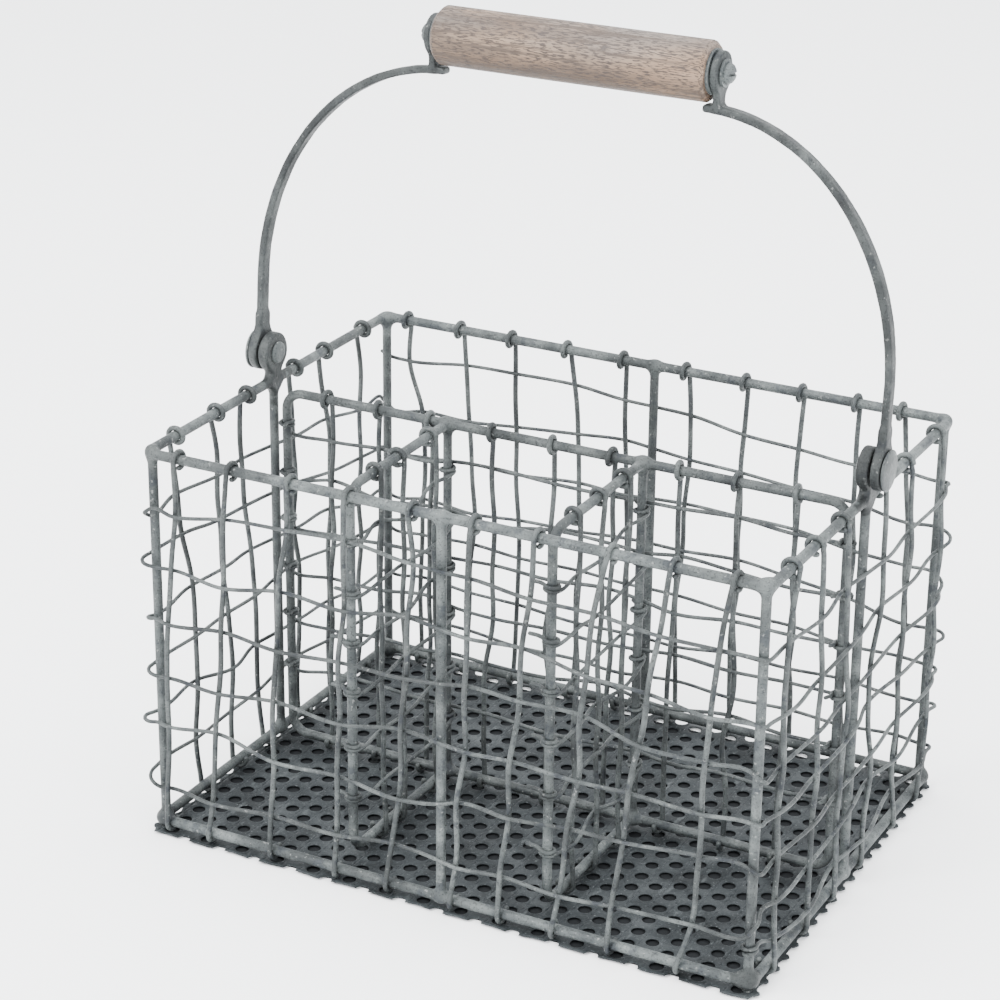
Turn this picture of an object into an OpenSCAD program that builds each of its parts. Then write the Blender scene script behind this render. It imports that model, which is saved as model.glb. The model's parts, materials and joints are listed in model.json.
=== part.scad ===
// Wire bottle crate: a rod frame with hooked upright wires, a spiral wire, dividers that
// make three cells and one long bay, a perforated floor, and a riveted swinging bail
// that carries a turned wooden grip. Origin: middle of the floor's underside, +Z up,
// the long side along X, the three cells towards -Y.

/* [Frame] */
// Width between the centrelines of the rim rods
rim_w = 270; // [240:1:300]
// Depth between the centrelines of the rim rods
rim_d = 192; // [180:1:220]
// Height from the bottom rods to the top rim, centre to centre
wall_h = 166; // [160:1:190]
// Diameter of the rim and bottom rods
rod_d = 4.2; // [4:0.1:4.6]
// Diameter of the posts and of the divider frames
post_d = 4; // [3.6:0.1:4]
// Bend radius at the corners of the top rim
rim_bend = 6; // [5:0.5:9]

/* [Wires] */
// Diameter of the upright wires
upright_d = 2.2; // [2:0.1:2.4]
// Diameter of the spiral wire and the cross wires
hoop_d = 1.6; // [1.4:0.1:1.8]
// Spacing of the uprights on the front, the back and the long divider
upright_pitch = 27; // [25:0.5:28]
// Spacing of the uprights on the two short sides
side_pitch = 25; // [24:0.5:27]
// How far the front uprights' feet stand to the left of their tops
front_lean = 8.5; // [0:0.5:8.5]
// Spacing of the spiral wire's turns up the walls
hoop_pitch = 22.7; // [22:0.1:24]
// Height of the lowest full turn above the bottom rods
hoop_low = 28; // [24:1:30]
// Height of the wire's end above the bottom rods, where it is tied to the front right post
spiral_end_z = 13.5; // [12:0.5:16]

/* [Floor] */
// Thickness of the floor sheet
sheet_t = 1; // [0.8:0.1:1.5]
// How far the sheet reaches past the centreline of the bottom rods
sheet_lip = 4.5; // [4:0.25:5]
// Distance between neighbouring holes
hole_pitch = 10; // [9:0.5:12]
// Diameter of the holes
hole_d = 5.5; // [4:0.5:6]

/* [Dividers] */
// How far the divider bars lie below the top rim
divider_drop = 4; // [4:0.5:8]
// X position of the left short divider
short_left_x = -50; // [-52:1:-46]
// X position of the right short divider
short_right_x = 39.5; // [36:0.5:42]
// Distance from the long divider to the front legs of the short dividers
short_reach = 80; // [76:1:84]

/* [Bail] */
// Height of the pivots above the top rim
pivot_rise = 13; // [12:0.5:16]
// Distance from the pivots to the axis of the grip
bail_rise = 144; // [130:1:160]
// How far the bail leans back at rest
bail_lean = 4.5; // [0:0.5:6]
// Width of the arm, along Y
arm_w = 6; // [5:0.5:8]
// Thickness of the arm in its bent part
arm_t = 3.2; // [3:0.1:4]
// Diameter of the lugs and of the arm's eyes
eye_d = 17; // [15:0.5:18]
// Diameter of the rivet shanks
rivet_d = 6; // [5:0.5:7]

/* [Grip] */
// Length of the wooden grip
grip_l = 118; // [100:1:120]
// Diameter of the wooden grip
grip_d = 24; // [20:1:26]
// Diameter of the screws' shanks
screw_d = 4.4; // [4:0.2:5]

/* [Hidden] */

$fn = 48;
zinc = [0.50, 0.53, 0.54];
dark_zinc = [0.36, 0.38, 0.39];
wood = [0.72, 0.60, 0.47];

touch = 0.05;                       // gap between pieces that lie against each other
rod_r = rod_d / 2;
post_r = post_d / 2;
wire_r = upright_d / 2;
thin_r = hoop_d / 2;
loop_r = rod_r + wire_r + touch;    // centreline radius of a wire wrapped round a rod

low_z = sheet_t + upright_d + rod_r + 2 * touch;    // height of the bottom rods
rim_z = low_z + wall_h;
divider_z = rim_z - divider_drop;
pivot_z = rim_z + pivot_rise;
half_w = rim_w / 2;
half_d = rim_d / 2;
corner_in = rim_bend * (1 - cos(45));               // from the virtual corner to the bend
post_x = half_w - corner_in;
post_y = half_d - corner_in;

upright_count = 10;
side_steps = [-3, -2, -1, 1, 2, 3];
divider_count = 9;
short_count = 3;
hoop_count = 6;
long_leg_x = 128.5;
divider_bend = 8;
cross_offset = loop_r + wire_r + touch + thin_r;    // cross wires lie behind the uprights
hoop_out = loop_r + wire_r + touch + thin_r;        // the spiral lies outside the uprights
hoop_bend = 7;
hoop_x = half_w + hoop_out;
hoop_y = half_d + hoop_out;
start_tail = 5;

lug_t = 5;
arm_gap = 0.9;                      // between a lug and the arm beside it
arm_eye_t = 4;
arm_in = half_w + lug_t / 2 + arm_gap;
arm_mid = arm_in + arm_eye_t / 2;
fit_gap = 0.05;                     // radial running clearance
head_gap = 0.3;

washer_t = 1.2;
small_washer_t = 1;
tab_in = grip_l / 2 + washer_t + 0.2;
tab_t = 3;
strap_end = grip_l / 2 - 1.5;
strap_drop = grip_d / 2 + arm_t / 2 + 0.5;          // from the grip's axis to the strap
curve_w = arm_mid - strap_end;
curve_h = 98;
curve_z = bail_rise - strap_drop - curve_h;         // where the arm starts to bend in

// Rods and bends -------------------------------------------------------------------

module rod_x(length, d) { rotate([0, 90, 0]) cylinder(h = length, d = d, center = true); }
module rod_y(length, d) { rotate([90, 0, 0]) cylinder(h = length, d = d, center = true); }

module bend(radius, d, angle = 90) {
    rotate_extrude(angle = angle) translate([radius, 0]) circle(d = d);
}

// A closed rectangle of bent wire in the XY plane
module wire_ring(w, d, radius, wire) {
    for (s = [-1, 1]) {
        translate([0, s * d / 2, 0]) rod_x(w - 2 * radius, wire);
        translate([s * w / 2, 0, 0]) rod_y(d - 2 * radius, wire);
    }
    for (i = [0 : 3])
        translate([(i == 0 || i == 3 ? 1 : -1) * (w / 2 - radius),
                   (i < 2 ? 1 : -1) * (d / 2 - radius), 0])
            rotate(90 * i) bend(radius, wire);
}

// A rod bent into a C in the XY plane, open towards -X: two runs and the leg between them
module bent_c(reach, height, radius, wire) {
    for (s = [-1, 1])
        translate([(reach - radius) / 2, s * height / 2, 0]) rod_x(reach - radius, wire);
    translate([reach, 0, 0]) rod_y(height - 2 * radius, wire);
    translate([reach - radius, height / 2 - radius, 0]) bend(radius, wire);
    translate([reach - radius, radius - height / 2, 0]) mirror([0, 1, 0]) bend(radius, wire);
}

// Floor and frame --------------------------------------------------------------------

module base_sheet() {
    column = hole_pitch * cos(30);
    columns = floor((half_w + sheet_lip) / column);
    rows = ceil((half_d + sheet_lip) / hole_pitch);
    color(dark_zinc) linear_extrude(sheet_t) difference() {
        square([rim_w + 2 * sheet_lip, rim_d + 2 * sheet_lip], center = true);
        for (i = [-columns : columns], j = [-rows : rows])
            translate([i * column, (j + abs(i) % 2 / 2 - 0.05) * hole_pitch]) circle(d = hole_d);
    }
}

module corner_posts_cut() {
    for (x = [-post_x, post_x], y = [-post_y, post_y])
        translate([x, y, 0]) cylinder(h = rim_z, d = post_d + 2 * touch);
}

module bottom_rod_long(side) {
    color(zinc) difference() {
        translate([0, side * half_d, low_z]) rod_x(rim_w - 2 * corner_in, rod_d);
        corner_posts_cut();
    }
}

module bottom_rod_short(side) {
    color(zinc) difference() {
        translate([side * half_w, 0, low_z]) rod_y(rim_d - 2 * corner_in - 2 * rod_d, rod_d);
        corner_posts_cut();
    }
}

module bottom_rod_front() { bottom_rod_long(-1); }
module bottom_rod_back() { bottom_rod_long(1); }
module bottom_rod_left() { bottom_rod_short(-1); }
module bottom_rod_right() { bottom_rod_short(1); }

module rim_shape(wire) {
    translate([0, 0, rim_z]) wire_ring(rim_w, rim_d, rim_bend, wire);
}

module top_rim() { color(zinc) rim_shape(rod_d); }

module corner_post(sx, sy) {
    color(zinc) translate([sx * post_x, sy * post_y, sheet_t])
        cylinder(h = rim_z - rod_r - sheet_t, d = post_d);
}

module corner_post_front_left() { corner_post(-1, -1); }
module corner_post_front_right() { corner_post(1, -1); }
module corner_post_back_left() { corner_post(-1, 1); }
module corner_post_back_right() { corner_post(1, 1); }

// A post between the bottom rod and the rim, with its ends shaped to both rods
module mid_post_x(side) {
    color(zinc) difference() {
        translate([0, side * half_d, low_z + 1]) cylinder(h = wall_h - 2, d = post_d);
        for (z = [low_z, rim_z]) translate([0, side * half_d, z]) rod_x(20, rod_d);
    }
}

module mid_post_y(side) {
    color(zinc) difference() {
        translate([side * half_w, 0, low_z + 1]) cylinder(h = wall_h - 2, d = post_d);
        for (z = [low_z, rim_z]) translate([side * half_w, 0, z]) rod_y(20, rod_d);
    }
}

module mid_post_front() { mid_post_x(-1); }
module mid_post_back() { mid_post_x(1); }
module mid_post_left() { mid_post_y(-1); }
module mid_post_right() { mid_post_y(1); }

module long_divider_frame() {
    color(zinc) translate([0, 0, (divider_z + low_z) / 2]) rotate([90, 0, 0])
        wire_ring(2 * long_leg_x, divider_z - low_z, divider_bend, post_d);
}

module divider_bars() {
    for (z = [low_z, divider_z]) translate([0, 0, z]) rod_x(rim_w / 2, post_d);
}

// One bent rod; its two ends are shaped to the long divider's bars
module short_divider_frame(x) {
    color(zinc) difference() {
        translate([x, 0, (divider_z + low_z) / 2]) rotate([90, 0, -90])
            mirror([0, 0, 1]) translate([1, 0, 0])
                bent_c(short_reach - 1, divider_z - low_z, divider_bend, post_d);
        divider_bars();
    }
}

// The post under the crossing of the bars
module divider_post(x) {
    color(zinc) difference() {
        translate([x, 0, low_z + 1]) cylinder(h = divider_z - low_z - 2, d = post_d - 0.2);
        divider_bars();
        for (z = [low_z, divider_z])
            translate([x, -short_reach / 2, z]) rod_y(short_reach, post_d);
    }
}

module divider_post_left() { divider_post(short_left_x); }
module divider_post_right() { divider_post(short_right_x); }
module short_divider_frame_left() { short_divider_frame(short_left_x); }
module short_divider_frame_right() { short_divider_frame(short_right_x); }

// Upright wires -------------------------------------------------------------------------

// One upright on the +X side of two rods that run along Y, one above the other: it hooks
// right round the top rod, and under and up the far side of the bottom rod
module hooked_upright(bottom, top, wrap_r) {
    translate([wrap_r, 0, bottom]) cylinder(h = top - bottom, r = wire_r);
    translate([0, 0, top]) rotate([90, 0, 0]) bend(wrap_r, upright_d, 250);
    translate([0, 0, bottom]) mirror([0, 0, 1]) rotate([90, 0, 0]) bend(wrap_r, upright_d, 200);
}

// foot is how far the lower end stands off to the side of the top
module wall_uprights(positions, reach, turn, foot = 0) {
    lean = atan(foot / wall_h);
    for (p = positions)
        rotate(turn) translate([reach, p, rim_z]) rotate([-lean, 0, 0])
            hooked_upright(-wall_h / cos(lean), 0, loop_r);
}

function spread(count, pitch) = [for (i = [0 : count - 1]) (i - (count - 1) / 2) * pitch];
side_positions = [for (i = side_steps) i * side_pitch];

module front_uprights() {
    color(zinc) wall_uprights(spread(upright_count, upright_pitch), half_d, -90, front_lean);
}

module back_uprights() { color(zinc) wall_uprights(spread(upright_count, upright_pitch), half_d, 90); }
module left_uprights() { color(zinc) wall_uprights(side_positions, half_w, 180); }
module right_uprights() { color(zinc) wall_uprights(side_positions, half_w, 0); }

module divider_upright() { hooked_upright(low_z, divider_z, post_r + wire_r + touch); }

module long_divider_uprights() {
    color(zinc) for (x = spread(divider_count, upright_pitch))
        translate([x, 0, 0]) rotate(90) divider_upright();
}

module short_divider_uprights(x) {
    color(zinc) for (i = [1 : short_count])
        translate([x, -i * short_reach / 4 + 1, 0]) divider_upright();
}

module short_divider_uprights_left() { short_divider_uprights(short_left_x); }
module short_divider_uprights_right() { short_divider_uprights(short_right_x); }

// Spiral wire and cross wires ---------------------------------------------------------------

function hoop_z(i) = low_z + hoop_low + (hoop_count - i) * hoop_pitch;
function turn_z(i) = i <= hoop_count ? hoop_z(i) : low_z + spiral_end_z;

// A bend of the thin wire at a corner; sx and sy are -1 or 1
module corner_bend(sx, sy) {
    turn = sy > 0 ? (sx > 0 ? 0 : 90) : (sx > 0 ? 270 : 180);
    translate([sx * (hoop_x - hoop_bend), sy * (hoop_y - hoop_bend), 0]) rotate(turn)
        bend(hoop_bend, hoop_d);
}

// The thin wire goes round and round outside the uprights. Each turn runs level along the back,
// the right and the front
module spiral_turn(i) {
    tail = i == 1 ? start_tail : 0;
    color(zinc) translate([0, 0, turn_z(i)]) {
        translate([-tail / 2, hoop_y, 0]) rod_x(2 * (hoop_x - hoop_bend) + tail, hoop_d);
        corner_bend(1, 1);
        translate([hoop_x, 0, 0]) rod_y(2 * (hoop_y - hoop_bend), hoop_d);
        corner_bend(1, -1);
        translate([0, -hoop_y, 0]) rod_x(2 * (hoop_x - hoop_bend), hoop_d);
        corner_bend(-1, -1);
        if (i > 1) corner_bend(-1, 1);
    }
}

module spiral_turn_1() { spiral_turn(1); }
module spiral_turn_2() { spiral_turn(2); }
module spiral_turn_3() { spiral_turn(3); }
module spiral_turn_4() { spiral_turn(4); }
module spiral_turn_5() { spiral_turn(5); }
module spiral_turn_6() { spiral_turn(6); }

// On the left side the wire falls from each turn to the next one
module spiral_falls() {
    side = 2 * (hoop_y - hoop_bend);
    color(zinc) for (i = [1 : hoop_count]) {
        fall = atan((turn_z(i) - turn_z(i + 1)) / side);
        run = side / cos(fall) - hoop_d * sin(fall) - 2 * touch;
        translate([-hoop_x, 0, (turn_z(i) + turn_z(i + 1)) / 2]) rotate([-fall, 0, 0])
            rod_y(run, hoop_d);
    }
}

// A turn of thin wire round a post or leg
module tie_ring() { rotate_extrude() translate([post_r + thin_r + touch, 0]) circle(r = thin_r); }

// The last half turn, which ends at the front right in a turn tied round the post
module spiral_end() {
    side_run = hoop_y - hoop_bend + post_y + hoop_d;
    ring_r = post_r + thin_r + touch;
    color(zinc) translate([0, 0, turn_z(hoop_count + 1)]) {
        corner_bend(-1, 1);
        translate([0, hoop_y, 0]) rod_x(2 * (hoop_x - hoop_bend), hoop_d);
        corner_bend(1, 1);
        translate([hoop_x, hoop_y - hoop_bend - side_run / 2, 0]) rod_y(side_run, hoop_d);
        translate([post_x, -post_y, 0]) tie_ring();
        translate([post_x + ring_r, -post_y, 0]) rotate([0, 90, 0])
            cylinder(h = hoop_x - post_x - ring_r, r = thin_r - 0.1);
    }
}

// One cross wire along X from leg to leg, a turn round each leg and a straight run
// that passes behind the uprights
module cross_wire(x1, x2) {
    ring_r = post_r + thin_r + touch;
    for (x = [x1, x2]) translate([x, 0, 0]) {
        tie_ring();
        translate([0, ring_r, 0]) rotate([-90, 0, 0]) cylinder(h = cross_offset - ring_r, r = thin_r - 0.1);
    }
    translate([(x1 + x2) / 2, cross_offset, 0]) rod_x(x2 - x1 + hoop_d, hoop_d);
}

module long_divider_cross_wires() {
    color(zinc) for (i = [1 : hoop_count])
        translate([0, 0, hoop_z(i) + 3]) cross_wire(-long_leg_x, long_leg_x);
}

module short_divider_cross_wires(x) {
    color(zinc) for (i = [1 : hoop_count])
        translate([x, 0, hoop_z(i) - 3]) rotate(-90) cross_wire(0, short_reach);
}

module short_divider_cross_wires_left() { short_divider_cross_wires(short_left_x); }
module short_divider_cross_wires_right() { short_divider_cross_wires(short_right_x); }

// Lugs and rivets ---------------------------------------------------------------------------

// A welded eye on the middle of a short side; side is -1 on the left and 1 on the right
module lug(side) {
    color(zinc) difference() {
        translate([side * half_w, 0, pivot_z]) union() {
            rod_x(lug_t, eye_d);
            rotate([90, 0, 90]) linear_extrude(lug_t - 0.6, center = true)
                polygon([[-6, 0], [6, 0], [5.2, -8], [7, -10], [11, 1 - pivot_rise],
                         [-11, 1 - pivot_rise], [-7, -10], [-5.2, -8]]);
        }
        translate([side * half_w, 0, rim_z]) rod_y(60, rod_d);
        translate([side * half_w, 0, pivot_z]) rod_x(3 * lug_t, rivet_d + 2 * touch);
    }
}

module lug_left() { lug(-1); }
module lug_right() { lug(1); }

// Shank, peened tail on the inner face of the lug and low domed head outside the arm
module rivet(side) {
    inner = half_w - lug_t / 2;
    head = arm_in + arm_eye_t + head_gap;
    color(zinc) translate([0, 0, pivot_z]) rotate([0, side * 90, 0]) rotate_extrude()
        polygon([[0, inner - 1.6], [3.2, inner - 1.6], [4.4, inner - 1.1], [4.8, inner],
                 [rivet_d / 2, inner], [rivet_d / 2, head], [eye_d / 2, head],
                 [eye_d / 2, head + 0.6], [eye_d / 2 - 1.5, head + 1.1],
                 [eye_d / 4, head + 1.5], [0, head + 1.6]]);
}

module rivet_left() { rivet(-1); }
module rivet_right() { rivet(1); }

// Bail -----------------------------------------------------------------------------------------

// Places what belongs to the bail, drawn round the pivot axis with the bail upright
module on_bail() { translate([0, 0, pivot_z]) rotate([-bail_lean, 0, 0]) children(); }

// Point on the arm's centreline curve, moved out by side * half the thickness
function arm_point(angle, shift) =
    [strap_end + (curve_w + shift) * cos(angle), curve_z + (curve_h + shift) * sin(angle)];

module bent_strap() {
    steps = 30;
    outer = [for (i = [0 : steps]) arm_point(90 * i / steps, arm_t / 2)];
    inner = [for (i = [steps : -1 : 0]) arm_point(90 * i / steps, -arm_t / 2)];
    foot = [[arm_mid - arm_t / 2, eye_d / 4], [arm_mid + arm_t / 2, eye_d / 4]];
    rotate([90, 0, 0]) linear_extrude(arm_w, center = true)
        polygon(concat(foot, outer, inner));
}

// The flattened end that widens into the pivot eye
module pivot_eye() {
    translate([arm_mid, 0, 0]) {
        rod_x(arm_eye_t, eye_d);
        rotate([90, 0, 90]) linear_extrude(arm_eye_t, center = true)
            polygon([[-7.2, 3], [7.2, 3], [arm_w / 2, 21], [-arm_w / 2, 21]]);
    }
}

// The tab that turns up from the strap and ends in the eye beside the grip
module grip_eye() {
    translate([tab_in + tab_t / 2, 0, 0]) {
        translate([0, 0, bail_rise]) rod_x(tab_t, eye_d);
        rotate([90, 0, 90]) linear_extrude(tab_t, center = true)
            polygon([[-arm_w / 2, bail_rise - strap_drop], [arm_w / 2, bail_rise - strap_drop],
                     [6.8, bail_rise - 4], [-6.8, bail_rise - 4]]);
    }
}

module bail_arm(side) {
    color(zinc) on_bail() mirror([side < 0 ? 1 : 0, 0, 0]) difference() {
        union() {
            bent_strap();
            pivot_eye();
            grip_eye();
        }
        translate([arm_mid, 0, 0]) rod_x(3 * arm_eye_t, rivet_d + 2 * fit_gap);
        translate([tab_in, 0, bail_rise]) rod_x(4 * tab_t, screw_d + 2 * fit_gap);
    }
}

module bail_arm_left() { bail_arm(-1); }
module bail_arm_right() { bail_arm(1); }

// Grip ------------------------------------------------------------------------------------------

// Places what turns with the grip, drawn along +Z from the grip's middle
module on_grip(side) {
    on_bail() translate([0, 0, bail_rise]) rotate([0, side * 90, 0]) children();
}

screw_depth = 26;

module grip() {
    chamfer = 1.6;
    r = grip_d / 2;
    end = grip_l / 2;
    color(wood) on_grip(1) difference() {
        rotate_extrude() polygon([[0, -end], [r - chamfer, -end], [r, chamfer - end],
                                  [r, end - chamfer], [r - chamfer, end], [0, end]]);
        for (s = [-1, 1]) translate([0, 0, s * end])
            cylinder(h = 2 * (screw_depth + 1), d = screw_d + 2 * touch, center = true);
    }
}

module ring_washer(side, start, thickness, outer) {
    color(zinc) on_grip(side) translate([0, 0, start]) difference() {
        cylinder(h = thickness, d = outer);
        translate([0, 0, -1]) cylinder(h = thickness + 2, d = screw_d + 2 * touch);
    }
}

small_washer_start = tab_in + tab_t + 0.2;
head_start = small_washer_start + small_washer_t;

module grip_washer_left() { ring_washer(-1, grip_l / 2, washer_t, 18); }
module grip_washer_right() { ring_washer(1, grip_l / 2, washer_t, 18); }
module screw_washer_left() { ring_washer(-1, small_washer_start, small_washer_t, 11); }
module screw_washer_right() { ring_washer(1, small_washer_start, small_washer_t, 11); }

// Round-headed wood screw with a slot
module grip_screw(side) {
    color(zinc) on_grip(side) difference() {
        rotate_extrude()
            polygon([[0, grip_l / 2 - screw_depth], [screw_d / 2, grip_l / 2 - screw_depth + 3],
                     [screw_d / 2, head_start], [4.2, head_start], [4.2, head_start + 0.8],
                     [3.6, head_start + 2], [2.4, head_start + 2.9], [0, head_start + 3.3]]);
        translate([0, 0, head_start + 3]) cube([1.2, 12, 2.4], center = true);
    }
}

module grip_screw_left() { grip_screw(-1); }
module grip_screw_right() { grip_screw(1); }

base_sheet();
bottom_rod_front();
bottom_rod_back();
bottom_rod_left();
bottom_rod_right();
top_rim();
corner_post_front_left();
corner_post_front_right();
corner_post_back_left();
corner_post_back_right();
mid_post_front();
mid_post_back();
mid_post_left();
mid_post_right();
long_divider_frame();
short_divider_frame_left();
short_divider_frame_right();
divider_post_left();
divider_post_right();
front_uprights();
back_uprights();
left_uprights();
right_uprights();
spiral_turn_1();
spiral_turn_2();
spiral_turn_3();
spiral_turn_4();
spiral_turn_5();
spiral_turn_6();
spiral_falls();
spiral_end();
long_divider_uprights();
long_divider_cross_wires();
short_divider_uprights_left();
short_divider_uprights_right();
short_divider_cross_wires_left();
short_divider_cross_wires_right();
lug_left();
lug_right();
rivet_left();
rivet_right();
bail_arm_left();
bail_arm_right();
grip();
grip_washer_left();
grip_washer_right();
screw_washer_left();
screw_washer_right();
grip_screw_left();
grip_screw_right();
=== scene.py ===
"""Looks for a wire milk bottle crate with a swinging bail and a wooden grip."""

import json
import math

import bpy
import numpy as np
from mathutils import Matrix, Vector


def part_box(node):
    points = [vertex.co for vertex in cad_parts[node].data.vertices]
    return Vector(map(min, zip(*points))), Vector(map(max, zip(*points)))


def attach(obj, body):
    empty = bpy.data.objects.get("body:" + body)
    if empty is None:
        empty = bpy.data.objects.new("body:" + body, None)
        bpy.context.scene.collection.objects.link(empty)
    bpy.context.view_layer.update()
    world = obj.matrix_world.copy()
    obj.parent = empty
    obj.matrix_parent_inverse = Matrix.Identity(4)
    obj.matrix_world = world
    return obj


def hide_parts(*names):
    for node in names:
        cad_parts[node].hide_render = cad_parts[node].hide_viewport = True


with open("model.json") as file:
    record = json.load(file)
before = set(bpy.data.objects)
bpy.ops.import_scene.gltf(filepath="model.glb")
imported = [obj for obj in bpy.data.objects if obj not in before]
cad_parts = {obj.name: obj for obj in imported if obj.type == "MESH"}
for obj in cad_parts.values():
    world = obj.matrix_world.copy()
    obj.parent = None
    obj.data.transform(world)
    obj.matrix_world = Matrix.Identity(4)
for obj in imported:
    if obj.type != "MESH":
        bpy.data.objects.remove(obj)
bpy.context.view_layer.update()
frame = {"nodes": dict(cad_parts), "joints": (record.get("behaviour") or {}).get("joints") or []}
NODES = frame["nodes"]
MM = 0.001
rng = np.random.default_rng(11)


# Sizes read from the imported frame, in millimetres ------

def node_box(name):
    lo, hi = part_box(name)
    return np.array(lo) / MM, np.array(hi) / MM


rim_lo, rim_hi = node_box("top_rim")
ROD_R = (rim_hi[2] - rim_lo[2]) / 2
RIM_Z = (rim_hi[2] + rim_lo[2]) / 2
HALF_W = rim_hi[0] - ROD_R
HALF_D = rim_hi[1] - ROD_R
low_lo, low_hi = node_box("bottom_rod_front")
LOW_Z = (low_lo[2] + low_hi[2]) / 2
post_lo, post_hi = node_box("corner_post_back_right")
POST_R = (post_hi[0] - post_lo[0]) / 2
POST_X = (post_hi[0] + post_lo[0]) / 2
POST_Y = (post_hi[1] + post_lo[1]) / 2
div_hi = node_box("long_divider_frame")[1]
DIV_Z = div_hi[2] - POST_R
LEG_X = div_hi[0] - POST_R
SHORT_X = {s: sum(corner[0] for corner in node_box("short_divider_frame_" + s)) / 2
           for s in ("left", "right")}
SHORT_Y = node_box("short_divider_frame_left")[0][1] + POST_R
lug_lo, lug_hi = node_box("lug_right")
sheet_lo, sheet_hi = node_box("base_sheet")
SHEET_T = sheet_hi[2] - sheet_lo[2]
JOINTS = {j["name"]: j for j in frame["joints"]}
PIVOT_Z = JOINTS["bail_swing"]["pos_m"][2] / MM
GRIP_Y, GRIP_Z = (v / MM for v in JOINTS["grip_spin"]["pos_m"][1:])
BAIL_RISE = math.hypot(GRIP_Y, GRIP_Z - PIVOT_Z)
LEAN = math.atan2(GRIP_Y, GRIP_Z - PIVOT_Z)
WIRE_R = 1.1                        # uprights
THIN_R = 0.8                        # spiral and cross wires
LOOP_R = ROD_R + WIRE_R + 0.05      # an upright's turn round a rod
RING_R = POST_R + THIN_R + 0.05     # the thin wire's turn round a post
WEAVE = 2.6                         # how far out of the wall's middle the woven wires run
SPIRAL_OUT = 1.35                   # the spiral's swing each way from there
CROSS_OUT = 1.3                     # the cross wires' swing each way
WELD_STEP = 0.5                     # mesh size of the welds
TURN = 2 * math.pi


# Curves and tubes --------------------------------------

def tangents(t, p):
    h = np.diff(t)[:, None]
    slope = np.diff(p, axis=0) / h
    inner = (slope[:-1] * h[1:] + slope[1:] * h[:-1]) / (h[1:] + h[:-1])
    return np.vstack([slope[:1], inner, slope[-1:]])


def hermite(t, p, at):
    """Smooth curve through p at t, read at the values in at."""
    t, p = np.asarray(t, float), np.asarray(p, float).reshape(len(t), -1)
    m = tangents(t, p)
    i = np.clip(np.searchsorted(t, at, side="right") - 1, 0, len(t) - 2)
    h = (t[i + 1] - t[i])[:, None]
    s = (at - t[i])[:, None] / h
    return ((2 * s**3 - 3 * s**2 + 1) * p[i] + (s**3 - 2 * s**2 + s) * h * m[i]
            + (3 * s**2 - 2 * s**3) * p[i + 1] + (s**3 - s**2) * h * m[i + 1])


def smooth_path(points, step=1.0):
    p = np.asarray(points, float)
    keep = np.r_[True, np.linalg.norm(np.diff(p, axis=0), axis=1) > 1e-3]
    p = p[keep]
    t = np.r_[0, np.cumsum(np.linalg.norm(np.diff(p, axis=0), axis=1))]
    return hermite(t, p, np.linspace(0, t[-1], max(4, int(t[-1] / step) + 1)))


def value_at(z, zs, vs):
    """Smooth value at height z from a list of values vs at falling heights zs."""
    order = np.argsort(zs)
    return hermite(np.asarray(zs, float)[order], np.asarray(vs, float)[order], np.atleast_1d(z))[:, 0]


def shell_faces(rows, sides):
    """Faces of a closed skin over rows of vertices, followed by a middle vertex for each end."""
    faces = []
    for k in range(rows - 1):
        for s in range(sides):
            e = (s + 1) % sides
            faces.append((k * sides + s, k * sides + e, (k + 1) * sides + e, (k + 1) * sides + s))
    first = rows * sides
    for s in range(sides):
        e = (s + 1) % sides
        faces.append((first, e, s))
        faces.append((first + 1, first - sides + s, first - sides + e))
    return faces


def tube(path, radius, sides=10):
    """Vertices and faces of a round wire along path, with domed ends."""
    p = np.asarray(path, float)
    n = len(p)
    d = np.gradient(p, axis=0)
    d /= np.linalg.norm(d, axis=1)[:, None]
    r = np.broadcast_to(radius, n).astype(float)
    up = np.array([0.0, 0, 1]) if abs(d[0][2]) < 0.9 else np.array([1.0, 0, 0])
    a = np.cross(d[0], up)
    normals = []
    for k in range(n):
        a = a - d[k] * np.dot(a, d[k])
        a /= np.linalg.norm(a)
        normals.append(a)
    u = np.array(normals)
    v = np.cross(d, u)
    dome = np.radians((75, 50, 25))
    rows = [(p[0] - d[0] * r[0] * math.sin(g), u[0], v[0], r[0] * math.cos(g)) for g in dome]
    rows += [(p[k], u[k], v[k], r[k]) for k in range(n)]
    rows += [(p[-1] + d[-1] * r[-1] * math.sin(g), u[-1], v[-1], r[-1] * math.cos(g)) for g in dome[::-1]]
    angle = np.arange(sides) * TURN / sides
    ring = [c + rad * (np.cos(angle)[:, None] * uu + np.sin(angle)[:, None] * vv) for c, uu, vv, rad in rows]
    verts = np.vstack(ring + [[p[0] - d[0] * r[0]], [p[-1] + d[-1] * r[-1]]])
    return verts, shell_faces(len(rows), sides)


def rough_radius(n, r, amount=0.035):
    """Radius along a dipped wire: the zinc is a little thicker here and there."""
    k = np.arange(n)
    out = np.zeros(n)
    for length in (5, 11, 23):
        out += np.sin(k / length + rng.uniform(0, 6.28)) * rng.uniform(0.4, 1)
    return r * (1 + amount * (out / 1.7 + 0.3))


def lathe(profile, sides=64):
    """Closed solid turned about the local Z axis from (radius, height) pairs."""
    angle = np.arange(sides) * TURN / sides
    verts = [np.stack([r * np.cos(angle), r * np.sin(angle), np.full(sides, z)], 1) for r, z in profile]
    verts = np.vstack(verts + [[[0, 0, profile[0][1]]], [[0, 0, profile[-1][1]]]])
    return verts, shell_faces(len(profile), sides)


# Smooth welded shapes from distances -------------------

def smin(a, b, k):
    """The smaller of two distances, with a fillet of about k where they cross."""
    h = np.clip(0.5 + 0.5 * (b - a) / k, 0, 1)
    return b + (a - b) * h - k * h * (1 - h)


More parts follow.
